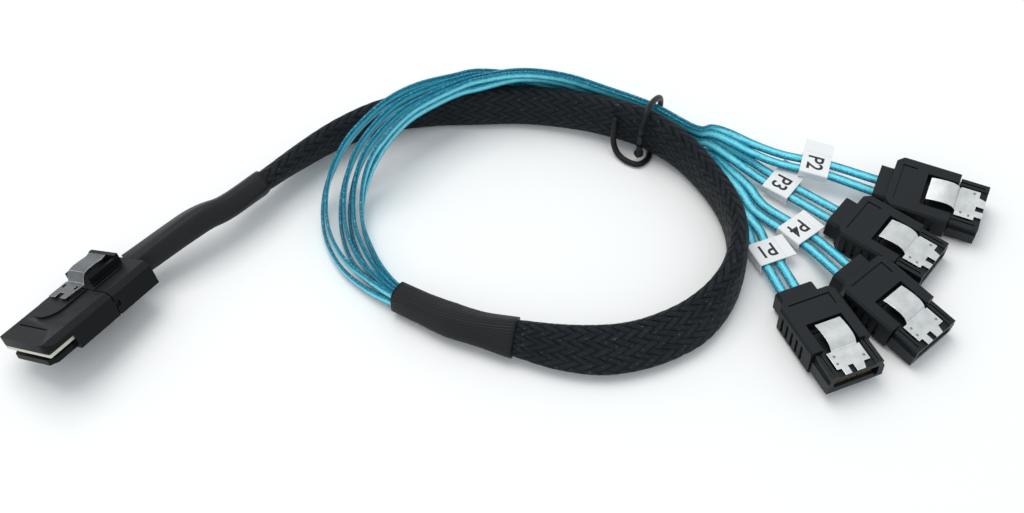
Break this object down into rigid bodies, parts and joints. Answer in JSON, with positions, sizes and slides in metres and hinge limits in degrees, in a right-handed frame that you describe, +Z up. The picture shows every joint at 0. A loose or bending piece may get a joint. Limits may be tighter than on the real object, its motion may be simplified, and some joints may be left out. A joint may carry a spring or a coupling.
{
  "type": "breakout cable",
  "caption": "Breakout cable: a wide latching plug, a flat braided sleeve with heat shrink ends and a loop of flat ribbons that fan out to small latching plugs.",
  "frame": {"origin": "middle of the plugs' bounding box, on the surface the cable lies on", "axes": "+X from the wide plug toward the small plugs, +Y away from the camera, +Z up"},
  "size_m": [0.2208, 0.0869, 0.0167],
  "materials": {
    "plug_plastic": "fine matt black moulding",
    "nose_plastic": "satin black moulding",
    "shrink_rubber": "black heat shrink, fine lengthwise ribs",
    "tie_rubber": "smooth black coating",
    "braid": "black monofilament braid, semi-gloss",
    "ribbon_jacket": "clear blue film over silver foil",
    "label": "white label film",
    "steel": "bright spring steel",
    "dark_steel": "dark spring steel",
    "contact": "gold plated contacts on their carrier",
    "board": "green solder mask"
  },
  "bodies": {
    "cable": {"host_front_housing": "plug_plastic", "host_rear_shell": "plug_plastic", "host_paddle_card": "board", "host_heat_shrink": "shrink_rubber", "braided_sleeve": "braid", "split_heat_shrink": "shrink_rubber", "p1_ribbon_outer": "ribbon_jacket", "p1_ribbon_inner": "ribbon_jacket", "p2_ribbon_outer": "ribbon_jacket", "p2_ribbon_inner": "ribbon_jacket", "p3_ribbon_outer": "ribbon_jacket", "p3_ribbon_inner": "ribbon_jacket", "p4_ribbon_outer": "ribbon_jacket", "p4_ribbon_inner": "ribbon_jacket", "p1_label": "label", "p2_label": "label", "p3_label": "label", "p4_label": "label", "wire_tie": "tie_rubber", "p1_overmould": "plug_plastic", "p1_nose": "nose_plastic", "p1_contacts": "contact", "p2_overmould": "plug_plastic", "p2_nose": "nose_plastic", "p2_contacts": "contact", "p3_overmould": "plug_plastic", "p3_nose": "nose_plastic", "p3_contacts": "contact", "p4_overmould": "plug_plastic", "p4_nose": "nose_plastic", "p4_contacts": "contact"},
    "host_latch_lever": {"host_latch": "dark_steel"},
    "p1_latch_lever": {"p1_latch": "steel"},
    "p2_latch_lever": {"p2_latch": "steel"},
    "p3_latch_lever": {"p3_latch": "steel"},
    "p4_latch_lever": {"p4_latch": "steel"}
  },
  "joints": [
    {"name": "host_latch_press", "type": "hinge", "parent": "cable", "child": "host_latch_lever", "pos_m": [-0.09971, -0.01205, 0.01087], "axis": [-0.798, 0.4262, -0.4261], "range_deg": [0, 4], "stiffness_Nm_per_rad": 0.6, "springref_deg": -1.15},
    {"name": "p1_latch_press", "type": "hinge", "parent": "cable", "child": "p1_latch_lever", "pos_m": [0.07084, -0.02815, 0.00751], "axis": [-0.9272, -0.3746, 0], "range_deg": [0, 4], "stiffness_Nm_per_rad": 0.6, "springref_deg": -1.15},
    {"name": "p2_latch_press", "type": "hinge", "parent": "cable", "child": "p2_latch_lever", "pos_m": [0.10729, 0.01583, 0.00696], "axis": [-0.3965, -0.9074, -0.1392], "range_deg": [0, 4], "stiffness_Nm_per_rad": 0.6, "springref_deg": -1.15},
    {"name": "p3_latch_press", "type": "hinge", "parent": "cable", "child": "p3_latch_lever", "pos_m": [0.09345, 0.00162, 0.006], "axis": [-0.6374, -0.7705, 0], "range_deg": [0, 4], "stiffness_Nm_per_rad": 0.6, "springref_deg": -1.15},
    {"name": "p4_latch_press", "type": "hinge", "parent": "cable", "child": "p4_latch_lever", "pos_m": [0.08971, -0.01875, 0.006], "axis": [-0.7615, -0.6481, 0], "range_deg": [0, 4], "stiffness_Nm_per_rad": 0.6, "springref_deg": -1.15}
  ]
}
